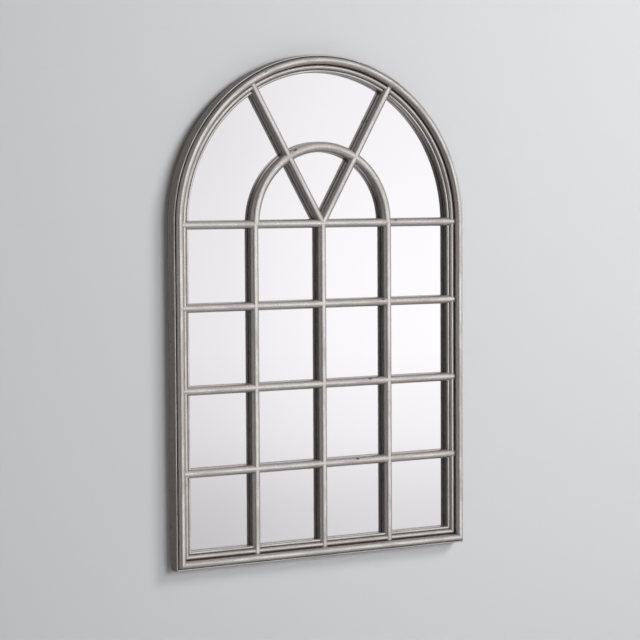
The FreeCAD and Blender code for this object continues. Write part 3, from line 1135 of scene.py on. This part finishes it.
@dataclass
class Member:
    """One swept member: its section, its length, its path and its height over the mirror's plane."""

    name: str
    section: Section
    length: float
    place: Path
    height: HeightField
    seed: int
    beds: tuple[Recess, ...] = ()
    # rings
    step: float = 4.0
    fewest: int = 8
    lip: float = 0.4
    lip_inset: float = 0.1
    bed_wall: float = 0.05
    bed_spread: float = 0.6
    bed_apart: float = 0.3
    back_span: Pair = (1.2, 23.8)
    flat: float = 0.02
    # unevenness, which fades in towards the front
    front_from: float = 14.0
    front_fade: float = 12.0
    sink_waves: Triple = (140.0, 61.0, 27.0)
    sink: float = 0.34
    lean_waves: Triple = (170.0, 74.0, 33.0)
    lean: float = 0.30
    # dark joints, and painted shade in the creases where members meet low down
    lean_skew: float = 6.0
    # dirt
    joint_dirt: float = 0.25
    joint_reach: float = 0.8
    crease_reach: float = 1.5
    shade_line: float = 29.5
    shade_fade: float = 6.0
    seed_shift: float = 37.0

    def stations(self) -> np.ndarray:
        """Distances along the member where it has a ring, closer at its ends and at the beds' ends."""
        rings = max(self.fewest, round(self.length / self.step))
        evenly = np.linspace(0.0, self.length, rings + 1)[1:-1]
        walls = [e for bed in self.beds for e in (bed.start, bed.end)]
        ends = [b for e in walls for b in (e - self.bed_wall, e + self.bed_wall)]
        ends = [e for e in ends if self.lip < e < self.length - self.lip]
        evenly = [r for r in evenly if all(abs(r - e) > self.bed_apart for e in ends)]
        return np.array(sorted([0.0, self.lip, *evenly, *ends, self.length - self.lip, self.length]))

    def bedded(self, outline: np.ndarray, run: np.ndarray) -> np.ndarray:
        """Repeats the outline for each ring and sinks the plates' beds in its back.

        Args:
            outline: The member's (u, v) outline.
            run: Where the rings are.

        Returns:
            An array of rings by points by two.
        """
        if not self.beds:
            return np.broadcast_to(outline, (len(run), *outline.shape)).copy()
        u, v = outline.T
        on_back = (v < self.flat) & (u > self.back_span[0]) & (u < self.back_span[1])
        first = int(np.flatnonzero(on_back)[0])
        before, after = outline[:first], outline[first:][~on_back[first:]]
        rings = []
        for r in run:
            bed = next((b for b in self.beds if b.holds(r)), None)
            near = bed or min(self.beds, key=lambda b: min(abs(r - b.start), abs(r - b.end)))
            low, high = near.limits(min(max(r, near.start), near.end))
            spread, depth = (self.bed_wall, bed.depth) if bed else (self.bed_spread, 0.0)
            floor = [(high, 0.0), (high - spread, depth), (low + spread, depth), (low, 0.0)]
            rings.append(np.vstack([before, floor, after]))
        return np.array(rings)

    def sweep(self, frame: WorkFrame, others: Sequence[Member]) -> Piece:
        """Builds the member with a maker's slight unevenness, and painted shade where it meets its
        neighbours.

        Args:
            frame: Where the mirror stands.
            others: The members that it may cross or meet.

        Returns:
            The new piece.
        """
        run = self.stations()
        rings = self.bedded(self.section.outline(), run)
        run = run[:, None]
        u, v = rings[..., 0], rings[..., 1]
        normal = self.inward(rings)
        inset = np.where((run < self.lip / 2) | (run > self.length - self.lip / 2), self.lip_inset, 0.0)
        front = np.clip((v - self.front_from) / self.front_fade, 0.0, 1.0)
        sink = Ripple(self.seed, self.sink_waves, self.sink)(run) * front
        lean = Ripple(self.seed + 1, self.lean_waves, self.lean)(run + self.lean_skew * u) * front
        x, s, along = self.place(u + normal[..., 0] * (inset + lean), run)
        height = v + normal[..., 1] * inset - sink
        around = np.full(x.shape, NO_WOOD)
        for other in others:
            if other is not self:
                around = np.maximum(around, other.height(x, s))
        # painted shade in the crease where this member meets a neighbour, only low down near the glass
        low_down = np.clip((self.shade_line - height) / self.shade_fade, 0.0, 1.0)
        crease = np.exp(-(((height - around) / self.crease_reach) ** 2)) * (around > 0) * low_down
        joint = np.exp(-((np.minimum(run, self.length - run) / self.joint_reach) ** 2)) * self.joint_dirt
        # cavity mask: painted shade in creases and hollows, and dark joints at the ends
        cavity = np.maximum(np.maximum(crease, Section.nearness(rings, self.section.hollows)), joint)
        # crest mask for rubbed wear and the painted highlight, kept out of the painted shade
        crest = Section.nearness(rings, self.section.ridges) * (1 - crease)
        spans = np.hypot(*(np.roll(rings[0], -1, axis=0) - rings[0]).T)
        across = np.concatenate([[0.0], np.cumsum(spans)])
        masks = {Mask.CAVITY: cavity, Mask.CREST: crest}
        along = along + self.seed * self.seed_shift
        return Strip(self.name, frame.points(x, height, s), along, across, masks).build()

    @staticmethod
    def inward(rings: np.ndarray) -> np.ndarray:
        """The direction into the wood at each point of outlines that run clockwise."""
        edge = np.roll(rings, -1, axis=-2) - np.roll(rings, 1, axis=-2)
        edge = edge / np.maximum(np.hypot(edge[..., 0], edge[..., 1]), 1e-9)[..., None]
        return np.stack([edge[..., 1], -edge[..., 0]], axis=-1)


@dataclass
class SilveredWork:
    """Members that are swept, dressed in silver leaf and put in the place of the solids of their names."""

    frame: WorkFrame
    moulding: Moulding = field(default_factory=Moulding)
    ending: str = "moulding"

    def build(self, shelf: FinishShelf, members: Sequence[Member], others: Sequence[Member]) -> list[Piece]:
        """Builds and dresses the members.

        Args:
            shelf: The finishes.
            members: The members to build.
            others: Every member that they may cross or meet.

        Returns:
            The new pieces.
        """
        pieces = []
        for member in members:
            piece = member.sweep(self.frame, others)
            piece.name = piece.data.name = f"{member.name}_{self.ending}"
            shelf.dress(piece, "silver_leaf")
            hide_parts(member.name)
            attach(piece, "frame")
            pieces.append(piece)
        return pieces


# ---------------------------------------------------------------- the outer frame


@dataclass
class MouldedFrame(SilveredWork):
    """The outer frame: two stiles, the bottom rail and the two halves of the arch."""

    plate_inset: float = 5.5
    plate_width: float = 16.0
    plate_length: float = 92.0
    brace_leg: float = 76.0
    clear: float = 0.15
    past_end: float = 1.0

    @property
    def bed(self) -> Pair:
        """Where a plate's bed starts and ends across a member."""
        return self.plate_inset - self.clear, self.plate_inset + self.plate_width + self.clear

    @property
    def brace_reach(self) -> float:
        """How far a corner brace's bed reaches from the outer corner. Beyond it the rings are square."""
        return self.plate_inset + self.brace_leg + self.clear

    def bed_at(self, run: float) -> Pair:
        """A plate's bed across a straight member, the same all along it."""
        return self.bed

    def chord_bed(self, run: float) -> Pair:
        """A straight plate's edges across the arch, at a distance round it from the plate's middle."""
        radius, (low, high) = self.frame.radius, self.bed
        turn = math.cos(max(run, 0.0) / radius)
        return radius - (radius - low) / turn, radius - (radius - high) / turn

    def end_beds(
        self, length: float, first: float, last: float, limits: Limits, mirrored: Limits
    ) -> tuple[Recess, Recess]:
        """Beds at both ends of a member.

        Args:
            length: The member's length.
            first: How far the first bed reaches along it.
            last: How far the last bed reaches back from its end.
            limits: The first bed's edges across the member, by the distance along it.
            mirrored: The last bed's edges.

        Returns:
            The two beds.
        """
        far = length + self.past_end
        return Recess(-self.past_end, first, limits), Recess(length - last, far, mirrored)

    def members(self) -> list[Member]:
        """The five members with their paths and beds.

        Returns:
            Stiles first, then the rail and the arch.
        """
        radius, tall, brace = self.frame.radius, -self.frame.bottom, self.brace_reach
        span, quarter = 2 * radius, math.pi / 2 * radius
        section = self.moulding.section()
        half_plate = self.plate_length / 2 + self.clear
        reach = radius * math.asin(half_plate / (radius - sum(self.bed) / 2))
        stile_beds = self.end_beds(tall, brace, half_plate, self.bed_at, self.bed_at)
        rail_beds = self.end_beds(span, brace, brace, self.bed_at, self.bed_at)

        def crown_bed(run: float) -> Pair:
            """The crown plate's bed, by the distance from the arch's foot."""
            return self.chord_bed(quarter - run)

        arch_beds = self.end_beds(quarter, reach, reach, self.chord_bed, crown_bed)
        found = []
        for side in Side:
            name, seed = f"{side.name.lower()}_stile", Kind.STILE.value + side.value
            over = self.height_over(side, Kind.STILE)
            found.append(Member(name, section, tall, self.stile_path(side), over, seed, stile_beds))
        over = self.height_over(Side.LEFT, Kind.RAIL)
        found.append(Member("bottom_rail", section, span, self.rail_path, over, Kind.RAIL.value, rail_beds))
        for side in Side:
            name, seed = f"arch_{side.name.lower()}", Kind.ARCH.value + side.value
            over = self.height_over(side, Kind.ARCH)
            found.append(Member(name, section, quarter, self.arch_path(side), over, seed, arch_beds))
        return found

    def skew(self, u: np.ndarray, run: np.ndarray) -> np.ndarray:
        """How far a ring leans to lie on the mitre, at a distance along from it."""
        return u * np.maximum(0.0, 1.0 - run / self.brace_reach)

    def stile_path(self, side: Side) -> Path:
        """How a stile's rings run up from its mitre to the spring line.

        Args:
            side: Which stile it is.

        Returns:
            The path.
        """

        def place(u: np.ndarray, run: np.ndarray) -> Places:
            """Places along the stile."""
            along = run + self.skew(u, run)
            return side.value * (self.frame.radius - u), self.frame.bottom + along, along

        return place

    def rail_path(self, u: np.ndarray, run: np.ndarray) -> Places:
        """Places along the rail, between its two mitres."""
        along = run + self.skew(u, run) - self.skew(u, 2 * self.frame.radius - run)
        return along - self.frame.radius, self.frame.bottom + u, along

    def arch_path(self, side: Side) -> Path:
        """How a half of the arch turns from the spring line to the crown.

        Args:
            side: Which half it is.

        Returns:
            The path.
        """

        def place(u: np.ndarray, run: np.ndarray) -> Places:
            """Places round the arch."""
            reach, angle = self.frame.radius - u, run / self.frame.radius
            return side.value * reach * np.cos(angle), reach * np.sin(angle), run + 0 * u

        return place

    def height_over(self, side: Side, kind: Kind) -> HeightField:
        """The height of one kind of member over any place on the mirror's plane.

        Args:
            side: The member's side.
            kind: Stile, rail or arch.

        Returns:
            The height field.
        """
        radius, bottom = self.frame.radius, self.frame.bottom

        def height(x: np.ndarray, s: np.ndarray) -> np.ndarray:
            """Heights over the plane.

            Args:
                x: Distances to the right of the centre line.
                s: Heights above the spring line.

            Returns:
                Heights above the back plane, far below it beside the member.
            """
            own_side, from_edge, from_bottom = x * side.value > 0, radius - np.abs(x), s - bottom
            if kind is Kind.STILE:
                u, here = from_edge, own_side & (s <= 0) & (from_bottom >= from_edge)
            elif kind is Kind.RAIL:
                u, here = from_bottom, from_bottom <= from_edge
            else:
                u, here = radius - np.hypot(x, s), own_side & (s >= 0)
            return np.where(here, self.moulding.height(u), NO_WOOD)

        return height


# ---------------------------------------------------------------- the glazing bars


@dataclass
class GlazingGrille(SilveredWork):
    """The bars in front of the glass: three uprights, four cross bars, the inner arch and two rays."""

    ending: str = "silvered"
    columns: int = 4
    rows: int = 4
    bar: BarSection = field(default_factory=lambda: BarSection(21.0, 29.0))
    arch_bar: BarSection = field(default_factory=lambda: BarSection(25.0, 29.4))
    ray_angle: float = 60.0
    end_gap: float = 0.6

    @property
    def stop(self) -> float:
        """How far inside the outer edge the bars stop."""
        return self.moulding.groove_u + self.end_gap

    @property
    def column_pitch(self) -> float:
        """The distance between uprights."""
        clear = 2 * (self.frame.radius - self.moulding.face_width) - (self.columns - 1) * self.bar.width
        return clear / self.columns + self.bar.width

    @property
    def row_pitch(self) -> float:
        """The distance between cross bars."""
        clear = -self.frame.bottom - self.moulding.face_width - (self.rows - 0.5) * self.bar.width
        return clear / self.rows + self.bar.width

    def straight(self, name: str, start: Pair, end: Pair, seed: int) -> Member:
        """A straight bar between two places.

        Args:
            name: The bar's name.
            start: Its first end as (x, s).
            end: Its other end.
            seed: Its own random order.

        Returns:
            The member.
        """
        a, b = np.array(start), np.array(end)
        length = float(np.hypot(*(b - a)))
        way = (b - a) / length
        beside = np.array([way[1], -way[0]])

        def place(offset: np.ndarray, run: np.ndarray) -> Places:
            """Places along the bar."""
            x, s = (a[k] + way[k] * run + beside[k] * offset for k in (0, 1))
            return x, s, run + 0 * offset

        def height(x: np.ndarray, s: np.ndarray) -> np.ndarray:
            """Heights over the mirror's plane."""
            run = (x - a[0]) * way[0] + (s - a[1]) * way[1]
            offset = (x - a[0]) * beside[0] + (s - a[1]) * beside[1]
            return np.where((run >= 0) & (run <= length), self.bar.height(offset), NO_WOOD)

        return Member(name, self.bar.section(), length, place, height, seed)

    def inner_arch(self) -> Member:
        """The half-round bar from the left outer upright to the right one."""
        radius = self.column_pitch + self.bar.width / 2 - self.arch_bar.width / 2

        def place(offset: np.ndarray, run: np.ndarray) -> Places:
            """Places round the arch."""
            angle = math.pi - run / radius
            return (radius - offset) * np.cos(angle), (radius - offset) * np.sin(angle), run + 0 * offset

        def height(x: np.ndarray, s: np.ndarray) -> np.ndarray:
            """Heights over the mirror's plane."""
            return np.where(s >= 0, self.arch_bar.height(np.hypot(x, s) - radius), NO_WOOD)

        section, seed = self.arch_bar.section(), Kind.INNER_ARCH.value
        return Member("inner_arch", section, math.pi * radius, place, height, seed)

    def members(self) -> list[Member]:
        """Every bar.

        Returns:
            Uprights, cross bars, the inner arch and the rays.
        """
        low, half = self.frame.bottom + self.stop, self.frame.radius - self.stop
        bars = []
        for i in range(1, self.columns):
            x = (i - self.columns / 2) * self.column_pitch
            bars.append(self.straight(f"glazing_bar_{i}", (x, low), (x, 0.0), Kind.UPRIGHT.value + i))
        for i in range(self.rows):
            name, s = f"cross_bar_{i}" if i else "spring_bar", -i * self.row_pitch
            bars.append(self.straight(name, (-half, s), (half, s), Kind.CROSS.value + i))
        bars.append(self.inner_arch())
        for side in Side:
            angle = math.radians(self.ray_angle)
            name = f"ray_{side.name.lower()}"
            end = (side.value * half * math.cos(angle), half * math.sin(angle))
            bars.append(self.straight(name, (0.0, 0.0), end, Kind.RAY.value + side.value))
        return bars


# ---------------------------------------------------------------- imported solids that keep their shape


@dataclass
class KeptSolids:
    """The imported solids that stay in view, with eased edges and their finishes."""

    nodes: dict[str, Piece]
    slots: dict[str, str]
    # how wide the eased edges are, in millimetres, by how the solid's name starts
    eased: tuple[tuple[str, float], ...] = (
        ("joint_plate", 0.25),
        ("corner_brace", 0.25),
        ("hanger_strap", 0.22),
        ("plate_screws", 0.1),
        ("hanger_screws", 0.1),
        ("board_screws", 0.1),
    )

    def dress(self, shelf: FinishShelf) -> list[str]:
        """Gives each solid that still shows its finish.

        Args:
            shelf: The finishes.

        Returns:
            The names of the solids that were dressed.
        """
        shown = {name: node for name, node in self.nodes.items() if not node.hide_render}
        for name, node in shown.items():
            for start, width in self.eased:
                if name.startswith(start):
                    MeshShop.ease_edges(node, width * MM)
            shelf.dress(node, self.slots[name])
        return list(shown)


# ---------------------------------------------------------------- studio


@dataclass(frozen=True)
class Viewpoint:
    """The photograph's viewpoint, worked out from the panes' edges. In metres and radians."""

    place: Triple = (-2.646, -4.497, 0.1414)
    yaw: float = 0.5334
    pitch: float = -0.0603
    roll: float = -0.0055
    lens: float = 122.3
    sensor: float = 36.0
    clip: Pair = (0.05, 60.0)

    def make(self) -> Piece:
        """Makes the camera and sets it as the scene's.

        Returns:
            The camera.
        """
        level = math.cos(self.pitch)
        forward = Vector((math.sin(self.yaw) * level, math.cos(self.yaw) * level, math.sin(self.pitch)))
        right = Vector((math.cos(self.yaw), -math.sin(self.yaw), 0.0))
        up = right.cross(forward)
        across = right * math.cos(self.roll) + up * math.sin(self.roll)
        upright = up * math.cos(self.roll) - right * math.sin(self.roll)
        data = bpy.data.cameras.new("viewpoint")
        data.lens, data.sensor_width = self.lens, self.sensor
        data.clip_start, data.clip_end = self.clip
        camera = MeshShop.link("viewpoint", data)
        turned = Matrix((across, upright, -forward)).transposed().to_4x4()
        camera.matrix_world = Matrix.Translation(self.place) @ turned
        bpy.context.scene.camera = camera
        return camera


@dataclass(frozen=True)
class Lamp:
    """One soft square lamp."""

    name: str
    place: Triple
    size: float
    power: float
    aim: Triple = (0.0, 0.0, -0.1)

    def make(self) -> None:
        """Adds the lamp, unseen in the mirror."""
        data = bpy.data.lights.new(self.name, "AREA")
        data.shape = "SQUARE"
        data.size = self.size
        data.energy = self.power
        lamp = MeshShop.link(self.name, data)
        lamp.location = self.place
        lamp.rotation_euler = (Vector(self.aim) - Vector(self.place)).to_track_quat("-Z", "Y").to_euler()
        lamp.visible_glossy = False


@dataclass(frozen=True)
class Studio:
    """A pale wall and floor, soft lamps and the surroundings that shiny surfaces show. In metres."""

    floor_z: float = -1.25
    floor_half: float = 40.0
    wall_y: float = 0.0006
    wall_half: float = 5.0
    wall_top: float = 3.2
    wall_paint: Colour = shade(0.60, 0.605, 0.62)
    floor_paint: Colour = shade(0.76, 0.76, 0.765)
    floor_level: float = 0.66
    backdrop: Colour = shade(0.80, 0.805, 0.82)
    plain: Colour = shade(0.08, 0.08, 0.08)
    lamps: tuple[Lamp, ...] = (
        Lamp("key", (3.0, -3.6, 2.6), 1.6, 150.0),
        Lamp("front", (1.1, -4.4, 0.6), 1.6, 100.0),
        Lamp("back_fill", (-2.4, 4.2, 2.2), 2.6, 110.0),
    )
    # brightness round the horizon, by the angle in degrees to the right of straight in front of the mirror
    around: tuple[Pair, ...] = (
        (-180, 0.22), (-150, 0.10), (-120, 0.2), (-100, 0.42), (-82, 0.48), (-64, 0.36), (-51, 0.10),
        (-43, 0.02), (-23, 0.02), (-10, 0.75), (-2, 1.15), (10, 1.15), (19, 0.84), (24, 0.76), (27.9, 0.87),
        (29.7, 0.965), (31.4, 1.02), (33.5, 1.05), (60, 0.85), (90, 0.5), (130, 0.3), (180, 0.22),
    )
    # its dark side for light that has met one shiny surface only, so that panes aren't black from the right
    open_side: tuple[Pair, ...] = ((-64, 0.33), (-51, 0.2), (-43, 0.17), (-23, 0.2), (-10, 0.75))
    # share of it that is left, by the angle in degrees above the horizon
    upwards: tuple[Pair, ...] = (
        (-90, 0.35), (-45, 0.40), (-20, 0.52), (-11, 0.62), (-8.4, 0.73), (-6.3, 0.91), (-4.1, 0.995),
        (-2, 1.0), (1.8, 0.935), (5, 0.9), (20, 0.82), (45, 0.62), (90, 0.5),
    )
    curve_top: float = 1.1

    def make(self) -> None:
        """Builds the wall, the floor, the lamps and the surroundings."""
        low, wide, y, far = self.floor_z, self.wall_half, self.wall_y, self.floor_half
        upright = [(-wide, y, low), (wide, y, low), (wide, y, self.wall_top), (-wide, y, self.wall_top)]
        wall = self.plane("backdrop_wall", upright, Plaster("pale_wall", self.wall_paint, one_sided=True))
        for ray in ("visible_diffuse", "visible_glossy", "visible_transmission", "visible_shadow"):
            setattr(wall, ray, False)
        flat = [(-far, -far, low), (far, -far, low), (far, far, low), (-far, far, low)]
        paint = Plaster("pale_floor", self.floor_paint, seen_level=self.floor_level)
        floor = self.plane("floor", flat, paint)
        floor.visible_glossy = False
        for lamp in self.lamps:
            lamp.make()
        self.surroundings()

    @staticmethod
    def plane(name: str, corners: Sequence[Triple], paint: Plaster) -> Piece:
        """A flat four-cornered stage surface.

        Args:
            name: Its name.
            corners: Its corners in order.
            paint: Its finish.

        Returns:
            The new object.
        """
        mesh = bpy.data.meshes.new(name)
        mesh.from_pydata(list(corners), [], [(0, 1, 2, 3)])
        mesh.materials.append(paint.make())
        return MeshShop.link(name, mesh)

    def surroundings(self) -> None:
        """Sets the world: plain for scattered light, with a bright and a dark side for shiny surfaces."""
        world = bpy.data.worlds.new("studio")
        world.use_nodes = True
        world.node_tree.nodes.clear()
        work = Tree(world.node_tree)
        view = work.add("ShaderNodeTexCoord").outputs["Generated"]
        way = work.add("ShaderNodeSeparateXYZ", {0: view}).outputs
        turn = work.math("ARCTAN2", way[0], work.times(way[1], -1.0))
        path = work.add("ShaderNodeLightPath").outputs
        deep = work.math("GREATER_THAN", path["Glossy Depth"], 1.5)
        opened = tuple(sorted({**dict(self.around), **dict(self.open_side)}.items()))
        first = work.times(work.less(1.0, deep), self.curve(work, turn, 180, opened))
        sides = work.plus(work.times(deep, self.curve(work, turn, 180, self.around)), first)
        shown = work.times(sides, self.curve(work, work.math("ARCSINE", way[2]), 90, self.upwards))
        grey = work.add("ShaderNodeCombineXYZ", {0: shown, 1: shown, 2: shown}).outputs[0]
        clear = work.plus(path["Is Glossy Ray"], path["Is Transmission Ray"], clamp=True)
        colour = work.mix(path["Is Camera Ray"], work.mix(clear, self.plain, grey), self.backdrop)
        light = work.add("ShaderNodeBackground", {"Color": colour, "Strength": 1.0})
        work.add("ShaderNodeOutputWorld", {"Surface": light.outputs[0]})
        bpy.context.scene.world = world

    def curve(self, work: Tree, angle: Socket, most: float, stops: Sequence[Pair]) -> Socket:
        """Turns an angle into a brightness.

        Args:
            work: The world's tree.
            angle: The angle in radians.
            most: Its largest value in degrees.
            stops: (degrees, brightness) pairs in order.

        Returns:
            The brightness.
        """
        share = work.plus(work.math("DIVIDE", angle, 2 * math.radians(most)), 0.5)
        node = work.add("ShaderNodeFloatCurve", {"Value": share})
        line = node.mapping.curves[0]
        spots = [((degrees / most + 1) / 2, level / self.curve_top) for degrees, level in stops]
        line.points[0].location, line.points[1].location = spots[0], spots[-1]
        for spot in spots[1:-1]:
            line.points.new(*spot)
        for point in line.points:
            point.handle_type = "VECTOR"
        node.mapping.update()
        return work.times(node.outputs[0], self.curve_top)


def main() -> None:
    """Builds the dressed mirror and the studio, and reports each piece."""
    logging.basicConfig(level=logging.INFO, format="%(name)s: %(message)s")
    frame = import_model()
    slots = {part["node"]: part["material_slot"] for part in frame["record"]["subparts"]}
    bpy.context.scene.view_settings.view_transform = "Standard"
    shelf = FinishShelf()
    shelf.stock()
    place = WorkFrame.read()
    moulded, grille = MouldedFrame(place), GlazingGrille(place)
    bars, frame_members = grille.members(), moulded.members()
    silvered = grille.build(shelf, bars, [*bars, *frame_members]) + moulded.build(shelf, frame_members, bars)
    for piece in silvered:
        LOG.info("%s: %d faces", piece.name, len(piece.data.polygons))
    for name in KeptSolids(frame["nodes"], slots).dress(shelf):
        LOG.info("%s: packed solid, finish %s", name, slots[name])
    Viewpoint().make()
    Studio().make()


if __name__ == "__main__":
    main()
